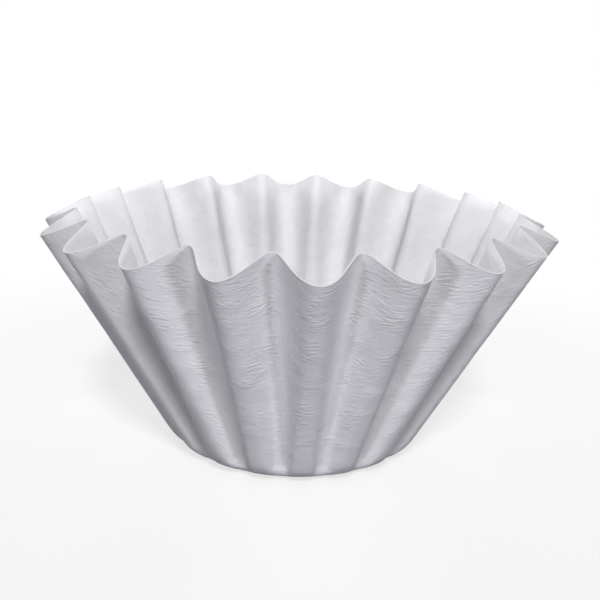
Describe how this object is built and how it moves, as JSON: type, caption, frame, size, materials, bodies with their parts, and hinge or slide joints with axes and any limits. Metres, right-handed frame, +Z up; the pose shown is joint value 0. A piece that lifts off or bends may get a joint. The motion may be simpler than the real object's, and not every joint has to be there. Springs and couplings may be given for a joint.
{
  "type": "paper coffee filter",
  "caption": "Flat-bottomed paper coffee filter with a flaring fluted wall and a wavy cut rim, open at the top.",
  "frame": {"origin": "middle of the base's under side", "axes": "+Z up along the cup's axis, +X through one lobe of the rim"},
  "size_m": [0.1036, 0.1036, 0.05],
  "materials": {
    "bleached_paper": "matt, finely creped"
  },
  "bodies": {
    "root": {"paper_filter": "bleached_paper"}
  },
  "joints": []
}
